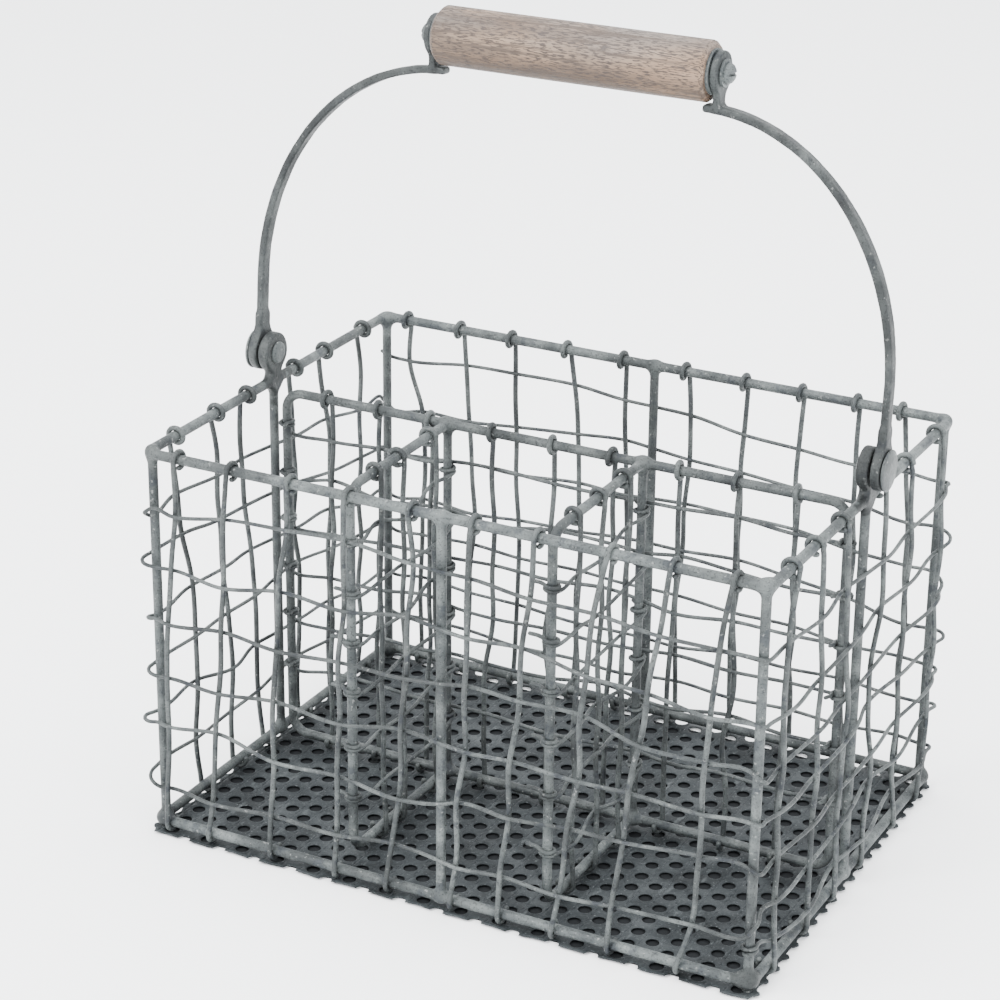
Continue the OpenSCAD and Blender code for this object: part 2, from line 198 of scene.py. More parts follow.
def rod_distance(p, a, b, r):
    a, b = np.asarray(a, float), np.asarray(b, float)
    ab = b - a
    t = np.clip(((p - a) @ ab) / (ab @ ab), 0, 1)
    return np.linalg.norm(p - a - t[..., None] * ab, axis=-1) - r


def lumps(p, size, seed):
    """Soft bumps between about -1 and 1 at each of the points p."""
    g = np.random.default_rng(seed)
    out = np.zeros(p.shape[:-1])
    for _ in range(7):
        w = g.normal(size=3)
        w *= g.uniform(0.7, 1.6) / np.linalg.norm(w)
        out += np.sin((p @ w) / size * 2 + g.uniform(0, 6.28))
    return out / 7


def surface(field, lo, hi, step):
    """Closed quad mesh of the zero level of field inside the box (surface nets)."""
    axes = [np.arange(lo[i] - step, hi[i] + 1.5 * step, step) for i in range(3)]
    grid = np.stack(np.meshgrid(*axes, indexing="ij"), -1)
    f = field(grid)
    for i in range(3):
        f[tuple(slice(None) if j != i else 0 for j in range(3))] = step
        f[tuple(slice(None) if j != i else -1 for j in range(3))] = step
    inside = f < 0
    shape = np.array(f.shape)
    total = np.zeros(tuple(shape - 1) + (3,))
    hits = np.zeros(tuple(shape - 1))
    for axis in range(3):
        others = [i for i in range(3) if i != axis]
        for u in (0, 1):
            for v in (0, 1):
                start = [slice(0, -1)] * 3
                start[others[0]] = slice(u, shape[others[0]] - 1 + u)
                start[others[1]] = slice(v, shape[others[1]] - 1 + v)
                end = list(start)
                end[axis] = slice(1, None)
                fa, fb = f[tuple(start)], f[tuple(end)]
                cross = (fa < 0) != (fb < 0)
                t = np.where(cross, fa / np.where(cross, fa - fb, 1), 0)
                point = np.zeros(total.shape)
                point[..., axis] = t
                point[..., others[0]] = u
                point[..., others[1]] = v
                total += point * cross[..., None]
                hits += cross
    used = hits > 0
    index = -np.ones(used.shape, int)
    index[used] = np.arange(used.sum())
    cell = np.argwhere(used)
    verts = np.array([axes[i][0] for i in range(3)]) + (cell + total[used] / hits[used][:, None]) * step
    faces = []
    for axis in range(3):
        o1, o2 = (axis + 1) % 3, (axis + 2) % 3
        first = [slice(1, -1)] * 3
        first[axis] = slice(0, -1)
        second = list(first)
        second[axis] = slice(1, None)
        a, b = inside[tuple(first)], inside[tuple(second)]
        where = np.argwhere(a != b)
        base = np.ones(3, int)
        base[axis] = 0
        where = where + base
        flip = inside[tuple(where.T)]
        quad = []
        for d1, d2 in ((1, 1), (0, 1), (0, 0), (1, 0)):
            c = where.copy()
            c[:, o1] -= d1
            c[:, o2] -= d2
            quad.append(index[tuple(c.T)])
        quad = np.stack(quad, 1)
        quad[~flip] = quad[~flip][:, ::-1]
        faces.append(quad)
    faces = np.vstack(faces)
    return verts, [tuple(q) for q in faces[(faces >= 0).all(1)]]


# Objects -----------------------------------------------

def add_piece(name, shapes, material, body="crate", nodes=()):
    verts, faces, start = [], [], 0
    for v, f in shapes:
        verts.append(np.asarray(v, float) * MM)
        faces += [tuple(int(i) + start for i in q) for q in f]
        start += len(v)
    mesh = bpy.data.meshes.new(name)
    mesh.from_pydata(np.vstack(verts).tolist(), [], faces)
    mesh.update()
    mesh.polygons.foreach_set("use_smooth", [True] * len(mesh.polygons))
    mesh.materials.append(material)
    piece = bpy.data.objects.new(name, mesh)
    bpy.context.scene.collection.objects.link(piece)
    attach(piece, body)
    if nodes:
        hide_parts(*nodes)
    return piece


# Materials ---------------------------------------------

def new_material(name):
    m = bpy.data.materials.new(name)
    m.use_nodes = True
    tree = m.node_tree
    return m, tree, tree.nodes["Principled BSDF"]


def node(tree, kind, **settings):
    n = tree.nodes.new(kind)
    for key, value in settings.items():
        if key in n.inputs:
            n.inputs[key].default_value = value
        else:
            setattr(n, key, value)
    return n


def noise(tree, scale, detail=4, rough=0.55, stretch=None):
    coords = node(tree, "ShaderNodeTexCoord")
    mapping = node(tree, "ShaderNodeMapping")
    if stretch:
        mapping.inputs["Scale"].default_value = stretch
    tree.links.new(coords.outputs["Object"], mapping.inputs["Vector"])
    n = node(tree, "ShaderNodeTexNoise", Scale=scale, Detail=detail, Roughness=rough)
    tree.links.new(mapping.outputs["Vector"], n.inputs["Vector"])
    return n.outputs["Fac"]


def ramp(tree, source, stops):
    r = node(tree, "ShaderNodeValToRGB")
    r.color_ramp.elements[0].position = stops[0][0]
    r.color_ramp.elements[1].position = stops[-1][0]
    for pos, _ in stops[1:-1]:
        r.color_ramp.elements.new(pos)
    for e, (_, colour) in zip(sorted(r.color_ramp.elements, key=lambda e: e.position), stops):
        e.color = (*colour, 1) if len(colour) == 3 else colour
    tree.links.new(source, r.inputs["Fac"])
    return r.outputs["Color"]


def grey(v):
    return (v, v, v)


def mix(tree, factor, a, b, blend="MIX"):
    m = node(tree, "ShaderNodeMix", data_type="RGBA", blend_type=blend)
    if isinstance(factor, float):
        m.inputs[0].default_value = factor
    else:
        tree.links.new(factor, m.inputs[0])
    for socket, value in ((m.inputs[6], a), (m.inputs[7], b)):
        if isinstance(value, tuple):
            socket.default_value = (*value, 1)
        else:
            tree.links.new(value, socket)
    return m.outputs[2]


def bump(tree, shader, height, strength, distance):
    b = node(tree, "ShaderNodeBump", Strength=strength, Distance=distance)
    tree.links.new(height, b.inputs["Height"])
    tree.links.new(b.outputs["Normal"], shader.inputs["Normal"])


def zinc_material(name, light, patches=0.5, worn=0.0):
    """Old hot-dipped zinc: dull grey with dark bluish stains, pale flecks and a soft pitted skin. The light
    argument sets the copy's overall brightness, which paints in how lit or shaded its parts are.
    """
    m, tree, shader = new_material(name)
    cloud = ramp(tree, noise(tree, 95, 5), [
        (0.36, tuple(light * c for c in (0.56, 0.64, 0.66))),
        (0.50, tuple(light * c for c in (0.86, 0.97, 0.97))),
        (0.64, tuple(light * c for c in (1.26, 1.40, 1.38)))])
    grime = ramp(tree, noise(tree, 24, 4), [(0.38, grey(0.60)), (0.60, grey(1.12))])
    colour = mix(tree, 1.0, cloud, grime, "MULTIPLY")
    stain = ramp(tree, noise(tree, 150, 3, 0.6), [(0.56, grey(0)), (0.64, grey(patches))])
    colour = mix(tree, stain, colour, tuple(light * c for c in (0.20, 0.25, 0.34)))
    fleck = ramp(tree, noise(tree, 620, 2, 0.5), [(0.65, grey(0)), (0.73, grey(0.55 + worn / 2.5))])
    colour = mix(tree, fleck, colour, tuple(min(0.9, light * c) for c in (3.0, 3.1, 3.0)))
    speck = ramp(tree, noise(tree, 1300, 2, 0.5), [(0.32, grey(0.45)), (0.46, grey(1))])
    colour = mix(tree, 1.0, colour, speck, "MULTIPLY")
    tree.links.new(colour, shader.inputs["Base Color"])
    rough = ramp(tree, noise(tree, 70, 4), [
        (0.35, grey(0.48 - 0.12 * worn)), (0.65, grey(0.72 - 0.15 * worn))])
    tree.links.new(rough, shader.inputs["Roughness"])
    shader.inputs["Metallic"].default_value = 0.3
    shader.inputs["Specular IOR Level"].default_value = 0.3
    pits = mix(tree, 0.35, noise(tree, 430, 5, 0.6), noise(tree, 1500, 2, 0.5))
    bump(tree, shader, pits, 0.7, 0.0007)
    return m


def sheet_material(name):
    """Dark perforated floor sheet, scuffed lighter in places and dusty round the holes."""
    m, tree, shader = new_material(name)
    base = ramp(tree, noise(tree, 42, 5), [
        (0.34, (0.008, 0.0100, 0.0110)), (0.52, (0.019, 0.0225, 0.0245)), (0.68, (0.036, 0.041, 0.043))])
    scuff = ramp(tree, noise(tree, 230, 4, 0.6, (1, 0.35, 1)), [(0.60, grey(0)), (0.70, grey(0.5))])
    colour = mix(tree, scuff, base, (0.075, 0.084, 0.087))
    dust = ramp(tree, noise(tree, 900, 2), [(0.62, grey(0)), (0.74, grey(0.5))])
    colour = mix(tree, dust, colour, (0.13, 0.142, 0.145))
    tree.links.new(colour, shader.inputs["Base Color"])
    rough = ramp(tree, noise(tree, 60, 3), [(0.35, grey(0.52)), (0.65, grey(0.75))])
    tree.links.new(rough, shader.inputs["Roughness"])
    shader.inputs["Metallic"].default_value = 0.3
    shader.inputs["Specular IOR Level"].default_value = 0.2
    bump(tree, shader, noise(tree, 320, 5, 0.6), 0.5, 0.0008)
    return m


def wood_material(name):
    """Bare turned wood, pinkish beige, greyer on its upper side, with fine dark pores."""
    m, tree, shader = new_material(name)
    along = (0.10, 1, 1)
    figure = ramp(tree, noise(tree, 95, 6, 0.6, along), [
        (0.30, (0.062, 0.033, 0.017)), (0.50, (0.125, 0.076, 0.045)), (0.70, (0.200, 0.138, 0.094))])
    band = ramp(tree, noise(tree, 60, 4, 0.55, (0.12, 1, 1)), [(0.38, grey(0.40)), (0.62, grey(1.28))])
    colour = mix(tree, 1.0, figure, band, "MULTIPLY")
    coords = node(tree, "ShaderNodeTexCoord")
    split = node(tree, "ShaderNodeSeparateXYZ")
    tree.links.new(coords.outputs["Object"], split.inputs["Vector"])
    height = node(tree, "ShaderNodeMapRange")
    height.inputs["From Min"].default_value = (GRIP_Z - 4) * MM
    height.inputs["From Max"].default_value = (GRIP_Z + 12) * MM
    tree.links.new(split.outputs["Z"], height.inputs["Value"])
    top_grey_patches = ramp(tree, noise(tree, 60, 4, 0.6, (0.4, 1, 1)), [(0.38, grey(0.1)), (0.62, grey(0.8))])
    # The grip is greyer towards its top: the height ramp times the patches sets how strongly the grey is
    # mixed in.
    worn = mix(tree, 1.0, height.outputs["Result"], top_grey_patches, "MULTIPLY")
    colour = mix(tree, worn, colour, (0.118, 0.098, 0.083))
    pores = ramp(tree, noise(tree, 2100, 2, 0.5, (0.15, 1, 1)), [(0.50, grey(0)), (0.585, grey(0.95))])
    colour = mix(tree, pores, colour, (0.022, 0.012, 0.008))
    streaks = ramp(tree, noise(tree, 420, 3, 0.5, (0.07, 1, 1)), [(0.53, grey(0)), (0.64, grey(0.85))])
    colour = mix(tree, streaks, colour, (0.040, 0.024, 0.015))
    tree.links.new(colour, shader.inputs["Base Color"])
    tree.links.new(ramp(tree, noise(tree, 120, 3, 0.5, along), [(0.3, grey(0.52)), (0.7, grey(0.72))]),
                   shader.inputs["Roughness"])
    bump(tree, shader, mix(tree, 0.5, noise(tree, 420, 4, 0.6, (0.08, 1, 1)), pores), 0.5, 0.0005)
    return m


# Lit and shaded copies of one zinc: each copy's brightness paints how lit or shaded its parts are. The rod
# copy is lighter, and the bail and lug copies are darkest. The last copy is also the most worn.
ZINC_PAINTED_LIGHT_FRONT = zinc_material("zinc_painted_light_front", 0.058, 0.7, 0.3)
ZINC_PAINTED_LIGHT_ROD = zinc_material("zinc_painted_light_rod", 0.076, 0.5)
ZINC_PAINTED_LIGHT_SIDE = zinc_material("zinc_painted_light_side", 0.064, 0.6, 0.2)
ZINC_PAINTED_SHADE_INNER = zinc_material("zinc_painted_shade_inner", 0.055, 0.5)
ZINC_PAINTED_SHADE_BACK = zinc_material("zinc_painted_shade_back", 0.060, 0.4)
ZINC_PAINTED_SHADE_BAIL = zinc_material("zinc_painted_shade_bail", 0.041, 0.5, 0.4)
ZINC_PAINTED_SHADE_LUG = zinc_material("zinc_painted_shade_lug", 0.031, 0.6, 0.1)
ZINC_WORN_AND_PAINTED_BRIGHT = zinc_material("zinc_worn_and_painted_bright", 0.085, 0.5, 0.9)
SHEET = sheet_material("floor_sheet")
WOOD = wood_material("grip_wood")


# Walls -------------------------------------------------

def place(wall, u, out, z):
    """Point on a wall: u runs along it, out is measured outwards from the middle of its rods."""
    u, out, z = np.broadcast_arrays(np.asarray(u, float), out, z)
    if wall == "front":
        return np.stack([u, -HALF_D - out, z], -1)
    if wall == "back":
        return np.stack([u, HALF_D + out, z], -1)
    if wall == "left":
        return np.stack([-HALF_W - out, u, z], -1)
    if wall == "right":
        return np.stack([HALF_W + out, u, z], -1)
    if wall == "long":
        return np.stack([u, out, z], -1)
    return np.stack([SHORT_X[wall.split("_")[1]] + out, u, z], -1)


# Where each upright runs: its place along the wall at these heights above the bottom rods
HEIGHTS = (166, 145, 122, 98, 70, 45, 20, 0)
UPRIGHTS = {
    "front": [
        (-120, -120.5, -122.5, -125.5, -127, -127.5, -128.5, -129.5),
        (-95, -97, -98.5, -99.5, -102, -104.3, -106.5, -109),
        (-67.5, -68.5, -72, -73.5, -76, -76.5, -77.8, -79),
        (-41.5, -42, -42.5, -44.5, -45.2, -46, -47, -48),
        (-13, -11.3, -13, -14.5, -16.5, -17.5, -21, -24),
        (14, 13, 12.3, 12, 11.6, 8.7, 8, 5.5),
        (41, 39.8, 36.5, 35.5, 32, 31, 28.3, 27.3),
        (71.5, 67, 64, 62, 61, 57, 54.3, 51),
        (97, 94, 90.5, 87.5, 82.7, 80.5, 77, 75.5),
        (122, 118.5, 116, 114, 113, 112.6, 110.5, 105)],
    "back": [
        (-123, -124, -117, -116, -117, -118, -118, -118),
        (-96, -94, -93, -91, -90, -92, -93, -94),
        (-70, -69.5, -68.5, -68.5, -66.5, -67, -67.5, -69),
        (-42.5, -39, -37.5, -36.5, -35.5, -37, -37, -38),
        (-15, -15, -14, -13, -12, -12, -13, -14),
        (15, 17, 16.5, 15.5, 14, 12.5, 13.5, 14),
        (43, 42, 41.5, 41.5, 42, 40, 40.5, 41),
        (69, 68, 67, 68, 68.5, 68, 69.5, 70),
        (94, 93.5, 94, 95, 94, 93, 94, 95),
        (114, 116, 118, 119, 120, 119, 120, 120)],
    "left": [
        (-75, -73, -69, -63.5, -61, -62, -63, -60),
        (-45, -40, -42, -39, -37, -33, -37, -35),
        (-21, -24, -21, -18.5, -14, -15, -13, -10),
        (17, 19.5, 20, 19, 21, 22.5, 18, 20),
        (42, 44, 50, 50, 48, 47, 47, 48),
        (75, 79, 77, 76, 76, 75, 75, 74)],
    "right": [
        (-75, -82, -82, -81, -82, -82, -80, -80),
        (-52, -48, -47, -45.5, -45, -45, -48, -47),
        (-26, -25, -20, -17, -14, -19, -16, -18),
        (13, 18, 18, 13, 9, 18, 11, 12),
        (43, 44, 50, 45, 46.5, 45, 47, 50),
        (79, 84, 86, 86, 86, 85, 81, 77)],
}

# Heights above the bottom rods where the long spiral wire crosses each upright, turn by turn
SPIRAL = {
    "back": [
        (146, 148, 149.5, 148.5, 147, 144.5, 141.5, 138.5, 137.5, 137.5),
        (121.5, 122, 123, 126.5, 127, 125, 122.5, 121.5, 119, 116),
        (100, 100.5, 101, 102, 102, 102.5, 103, 101, 98, 95),
        (78, 77, 77.5, 79.5, 80, 81, 81, 79, 74, 69),
        (61, 60.5, 60, 59, 59, 57.5, 56.5, 55, 53, 52),
        (38, 37, 35, 34, 33, 33.5, 35, 35.5, 35, 34),
        (18, 16, 15, 14, 14, 15, 14.5, 14, 14, 14)],
    "right": [
        (137, 136.3, 136, 134.7, 133.5, 138),
        (110, 107, 111, 111.5, 112, 110.5),
        (86, 87, 85.3, 90.5, 88, 90),
        (69, 64.8, 69, 71, 72, 66),
        (47, 46.6, 45, 49.5, 48, 51),
        (30, 25.7, 32, 34, 32.5, 34),
        (11, 8.5, 12, 11.5, 15.5, 14)],
    "front": [
        (142.5, 145, 147.6, 147.5, 145.5, 143.5, 142, 140.5, 139, 137.5),
        (117.5, 116, 119, 118.5, 121, 119.5, 119.3, 115.5, 112.7, 110.5),
        (94, 95, 94, 94.3, 95.7, 97.5, 98, 97, 91.7, 90),
        (68, 68, 69.5, 68.3, 71.5, 70.3, 69.7, 70, 69, 69.5),
        (47, 48, 43.5, 43, 41.5, 45.5, 46, 46.8, 48.8, 50),
        (16.5, 16, 16.5, 17.5, 19, 17.7, 17.5, 17.5, 17.7, 21)],
    "left": [
        (138, 136.8, 136, 133.5, 131, 127),
        (120.5, 115, 115.5, 110, 106, 102),
        (93, 93.5, 92, 90, 87, 81),
        (71, 69.5, 71, 71.5, 69, 64),
        (48.5, 44, 45.5, 45, 42, 39.5),
        (23.5, 22, 25, 25.5, 24, 20)],
}


def side_at(index, turn):
    """1 or -1, the side on which a divider's cross wire passes an upright."""
    return 1 if (index + turn) % 2 else -1


def side_of(wall, index, turn):
    """1 where the spiral wire passes outside this upright, -1 where it passes inside."""
    return 1 if (index + turn) % 2 == (0 if wall in ("front", "left") else 1) else -1


def upright(wall, bottom, top, row, crossings, hook, lean):
    """One hand-bent upright: a turn round the top rod, a woven run and a hook under the bottom rod."""
    slant = lean * rng.uniform(1.3, 1.5)
    u_top, u_low = row[0], row[-1]
    pts = []
    for a in np.arange(hook, 0, -15.0):
        g = math.radians(a)
        r = LOOP_R + (0.12 if a < 60 else 0.03)
        pts.append((u_top + slant * (a / 330), r * math.cos(g), top + r * math.sin(g)))
    zs = np.arange(top - bottom, -0.1, -4.0)
    u = value_at(zs, HEIGHTS, row)
    knots = [(top - bottom, LOOP_R)] + [(z, WEAVE - 0.55 * s) for z, s in crossings] + [(0, LOOP_R)]
    out = value_at(zs, [k[0] for k in knots], [k[1] for k in knots])
    u = u + 0.28 * np.sin(zs / 6.5 + rng.uniform(0, 6)) * np.sin(zs / (top - bottom) * math.pi)
    pts += list(zip(u, out, zs + bottom))
    turn = rng.choice([-1, 1])
    end = rng.uniform(188, 214)
    for a in np.arange(15, end, 13.0):
        g = math.radians(a)
        pts.append((u_low + turn * 0.9 * a / 200, LOOP_R * math.cos(g), bottom - LOOP_R * math.sin(g)))
    pts = np.array(pts)
    path = smooth_path(place(wall, pts[:, 0], pts[:, 1], pts[:, 2]), 1.0)
    return tube(path, rough_radius(len(path), WIRE_R), 10)


def wall_wires(wall):
    shapes = []
    rows = UPRIGHTS[wall]
    for i, row in enumerate(rows):
        crossings = [(SPIRAL[wall][t][i], side_of(wall, i, t)) for t in range(6)]
        shapes.append(upright(wall, LOW_Z, RIM_Z, row, crossings,
                              hook=rng.uniform(286, 304), lean=1 if wall in ("front", "left") else -1))
    return shapes


add_piece("front_uprights_wire", wall_wires("front"), ZINC_PAINTED_LIGHT_FRONT, nodes=["front_uprights"])
add_piece("back_uprights_wire", wall_wires("back"), ZINC_PAINTED_SHADE_BACK, nodes=["back_uprights"])
add_piece("left_uprights_wire", wall_wires("left"), ZINC_PAINTED_SHADE_INNER, nodes=["left_uprights"])
add_piece("right_uprights_wire", wall_wires("right"), ZINC_PAINTED_LIGHT_SIDE, nodes=["right_uprights"])


# The spiral wire ---------------------------------------

def wall_run(wall, turn, forward):
    """Points of the spiral along one wall, woven past its uprights and outside the middle post."""
    pts = []
    rows = UPRIGHTS[wall]
    for i in range(len(rows)):
        z = SPIRAL[wall][turn][i]
        u = float(value_at(z, HEIGHTS, rows[i])[0])
        pts.append((u, WEAVE + SPIRAL_OUT * side_of(wall, i, turn), z))
    left = [p for p in pts if p[0] < 0]
    right = [p for p in pts if p[0] > 0]
    middle = (0.0, POST_R + THIN_R + 0.15, (left[-1][2] + right[0][2]) / 2)
    pts = left + [middle] + right
    run = [place(wall, *p) for p in (pts if forward else pts[::-1])]
    return [np.array(p) for p in run]


def corner_turn(sx, sy, first, last, bulge, z1, z2):
    """Points round a corner post, swinging out by bulge; first and last are directions in degrees."""
    centre = np.array([sx * POST_X, sy * POST_Y])
    out = []
    for k in range(5):
        a = math.radians(first + (last - first) * k / 4)
        r = POST_R + THIN_R + 0.1 + bulge * math.sin(math.pi * (k + 0.6) / 5.2)
        xy = centre + r * np.array([math.cos(a), math.sin(a)])
        out.append(np.array([xy[0], xy[1], z1 + (z2 - z1) * k / 4]))
    return out


def spiral():
    pts = []
    bulges = {"br": (0.8, 3.4, 1.0, 3.6, 1.2, 2.0, 1.0), "fr": (0.4, 0.8, 0.9, 1.2, 0.8, 1.5),
              "fl": (1.2, 3.0, 1.6, 2.2, 4.6, 3.2), "bl": (1.0, 2.4, 1.2, 2.0, 1.5, 2.5)}
    tail_z = SPIRAL["back"][0][0]
    pts.append(np.array([-POST_X - 5.5, POST_Y + 5.0, tail_z + 1.5]))
    pts.append(np.array([-POST_X - 2.5, POST_Y + 4.4, tail_z + 0.6]))
    for t in range(7):
        back, right = wall_run("back", t, True), wall_run("right", t, False)
        pts += back
        pts += corner_turn(1, 1, 90, 0, bulges["br"][t], SPIRAL["back"][t][-1], SPIRAL["right"][t][-1])
        pts += right
        if t == 6:
            break
        front, left = wall_run("front", t, False), wall_run("left", t, True)
        pts += corner_turn(1, -1, 0, -90, bulges["fr"][t], SPIRAL["right"][t][0], SPIRAL["front"][t][-1])
        pts += front
        pts += corner_turn(-1, -1, -90, -180, bulges["fl"][t], SPIRAL["front"][t][0], SPIRAL["left"][t][0])
        pts += left
        pts += corner_turn(-1, 1, 180, 90, bulges["bl"][t], SPIRAL["left"][t][-1], SPIRAL["back"][t + 1][0])
    for k in range(22):
        a = math.radians(20 - 24 * k)
        pts.append(np.array([POST_X + RING_R * math.cos(a), -POST_Y + RING_R * math.sin(a),
                             15.5 - 1.9 * k / 15]))
    last = pts[-1]
    pts.append(last + np.array([2.2, -1.6, 0.3]))
    pts = np.array(pts)
    pts[:, 2] += LOW_Z
    path = smooth_path(pts, 1.4)
    return [tube(path, rough_radius(len(path), THIN_R, 0.04), 10)]


TURNS = [n for n in NODES if n.startswith("spiral_")]
add_piece("spiral_wire_bent", spiral(), ZINC_PAINTED_LIGHT_FRONT, nodes=TURNS)


# Divider wires -----------------------------------------

CROSS = (144, 121.5, 100, 77.5, 55, 30)


def divider_row(u_top, u_low, sway):
    """An upright's place at eight heights, wandering between its top and its foot."""
    f = np.linspace(0, 1, 8)
    w = rng.normal(0, sway, 8) * np.sin(f * math.pi)
    return tuple(u_top + (u_low - u_top) * f + w)


def coil(centre, radius, start, turns, pitch, tail):
    """A tight turn of thin wire round a leg, with a stub tail standing off it."""
    pts = []
    steps = int(abs(turns) * 18)
    for k in range(steps + 1):
        a = math.radians(start) + TURN * turns * k / steps
        pts.append(np.array([centre[0] + radius * math.cos(a), centre[1] + radius * math.sin(a),
                             centre[2] + pitch * k / steps]))
    away = (pts[-1] - pts[-2]) / np.linalg.norm(pts[-1] - pts[-2])
    out = pts[-1] - np.array(centre)
    out[2] = 0
    pts.append(pts[-1] + away * tail * 0.5 + out / np.linalg.norm(out) * tail * 0.2)
    pts.append(pts[-2] + away * tail + out / np.linalg.norm(out) * tail * 0.8)
    return pts


def thin_wire(points):
    """A cross wire through points given above the bottom rods."""
    path = np.array(points)
    path[:, 2] += LOW_Z
    path = smooth_path(path, 1.0)
    return tube(path, rough_radius(len(path), THIN_R, 0.06), 10)


def divider_uprights(wall, rows, drop):
    """A divider's uprights, woven past the cross wires, which cross them drop below CROSS."""
    return [upright(wall, LOW_Z, DIV_Z, row, [(z - drop, side_at(i, t)) for t, z in enumerate(CROSS)],
                    hook=rng.uniform(284, 304), lean=rng.choice([-1, 1])) for i, row in enumerate(rows)]


def place_at_height(row, z):
    return float(value_at(z, np.linspace(DIV_Z - LOW_Z, 0, 8), row)[0])


def long_divider():
    tops = (-108, -84, -59, -30, -2, 26, 55, 81, 106)
    lows = (-110, -86, -62, -33, -3, 24, 52, 80, 103)
    rows = [divider_row(a, b, 1.1) for a, b in zip(tops, lows)]
    ups = divider_uprights("long", rows, 0)
    wires = []
    for t, z in enumerate(CROSS):
        wob = rng.normal(0, 1.3, len(rows))
        pts = []
        for i, row in enumerate(rows):
            zi = z + wob[i]
            pts.append((place_at_height(row, zi), WEAVE + CROSS_OUT * side_at(i, t), zi))
        for x in SHORT_X.values():
            pts.append((x, POST_R + THIN_R + 0.2, z))
        run = [np.array(p) for p in sorted(pts)]
        a = coil((-LEG_X, 0, z + 2.6), RING_R, 90, -1.35, 2.2, rng.uniform(2.5, 4))[::-1]
        b = coil((LEG_X, 0, z + 0.3), RING_R, 90, 1.35, 2.2, rng.uniform(2.5, 4))
        a[-1][2] = z + 0.6
        wires.append(thin_wire(a + run + b))
    return ups, wires


ups, wires = long_divider()
add_piece("long_divider_uprights_wire", ups, ZINC_PAINTED_SHADE_INNER, nodes=["long_divider_uprights"])
add_piece("long_divider_cross_wires_bent", wires, ZINC_PAINTED_SHADE_INNER,
          nodes=["long_divider_cross_wires"])


def short_divider(side):
    where = {"left": (-16, -42, -61), "right": (-18, -41, -63)}[side]
    rows = [divider_row(a, a + rng.uniform(-2.5, 2.5), 0.9) for a in where]
    ups = divider_uprights("short_" + side, rows, 5)
    wires = []
    x = SHORT_X[side]
    for t, z in enumerate(CROSS):
        z = z - 6 + rng.uniform(-1.5, 1.5)
        pts = []
        for i, row in enumerate(rows):
            zi = z + rng.normal(0, 1.8)
            pts.append(np.array([x + WEAVE + CROSS_OUT * side_at(i, t), place_at_height(row, zi), zi]))
        a = coil((x, 0, z + 2.0), RING_R, 0, 1.3, 2.0, rng.uniform(2.5, 4))[::-1]
        b = coil((x, SHORT_Y, z - 0.5), RING_R, 0, -1.4, 2.2, rng.uniform(3, 5))
        wires.append(thin_wire(a + pts + b))
    return ups, wires


for side in ("left", "right"):
    ups, wires = short_divider(side)
    add_piece("short_divider_uprights_wire_" + side, ups, ZINC_PAINTED_SHADE_INNER,
              nodes=["short_divider_uprights_" + side])
    add_piece("short_divider_cross_wires_bent_" + side, wires, ZINC_PAINTED_SHADE_INNER,
              nodes=["short_divider_cross_wires_" + side])


# Welds -------------------------------------------------

def knuckle(centre, rods, k, reach, seed, blobs=()):
    """Zinc-filled weld where rods meet: it swells at the joint and sinks into the rods farther away."""
    centre = np.asarray(centre, float)

    def field(p):
        f = rod_distance(p, *rods[0])
        for rod in rods[1:]:
            f = smin(f, rod_distance(p, *rod), k)
        for place_, r in blobs:
            f = smin(f, np.linalg.norm(p - np.asarray(place_, float), axis=-1) - r, 2.0)
        d = np.linalg.norm(p - centre, axis=-1) / reach
        return f + 0.16 * lumps(p, 2.6, seed) * np.clip(1.3 - d, 0, 1) - 0.16 * np.exp(-(d * 2.2) ** 2) \
            + 0.9 * np.clip(d - 0.62, 0, None) ** 1.5

    return surface(field, centre - reach, centre + reach, WELD_STEP)


def top_corner(sx, sy, seed):
    """The post's end under the rim's bend, with a web of zinc on each side."""
    x, y = sx * POST_X, sy * POST_Y
    bend = 6.0
    arc = [(sx * (HALF_W - bend + bend * math.sin(a)), sy * (HALF_D - bend + bend * math.cos(a)), RIM_Z)
           for a in np.radians(np.linspace(0, 90, 7))]
    line = [(sx * (HALF_W - 20), sy * HALF_D, RIM_Z)] + arc + [(sx * HALF_W, sy * (HALF_D - 20), RIM_Z)]
    centre = np.array([x, y, RIM_Z - 2.5])
    reach = 10.5

    def field(p):
        rim = np.full(p.shape[:-1], 1e9)
        for i in range(len(line) - 1):
            rim = np.minimum(rim, rod_distance(p, line[i], line[i + 1], ROD_R))
        f = smin(rim, rod_distance(p, (x, y, RIM_Z), (x, y, RIM_Z - 14), POST_R), 3.8)
        d = np.linalg.norm(p - centre, axis=-1) / reach
        return f + 0.1 * lumps(p, 2.6, seed) * np.clip(1.3 - d, 0, 1) - 0.05 * np.exp(-(d * 2.2) ** 2) \
            + 0.9 * np.clip(d - 0.66, 0, None) ** 1.5

    return surface(field, centre - reach, centre + reach, WELD_STEP)


def bottom_corner(sx, sy, seed, fat):
    """The post's foot on two bottom rods, with fat millimetres of extra zinc."""
    x, y = sx * POST_X, sy * POST_Y
    rods = [((x, y, SHEET_T + 2.2), (x, y, LOW_Z + 16), POST_R),
            ((x, sy * HALF_D, LOW_Z), (x - sx * 18, sy * HALF_D, LOW_Z), ROD_R),
            ((sx * HALF_W, y, LOW_Z), (sx * HALF_W, y - sy * 18, LOW_Z), ROD_R)]
    blobs = [((x, y - 0.4 * sy, LOW_Z + 0.5), 3.0 + fat)]
    if fat:
        blobs.append(((x - 2.5 * sx, y + 1.0 * sy, LOW_Z + 0.2), 2.7))
    v, f = knuckle((x, y, LOW_Z + 1), rods, 3.0, 10, seed, blobs)
    v[:, 2] = np.maximum(v[:, 2], SHEET_T * 0.2)
    return v, f


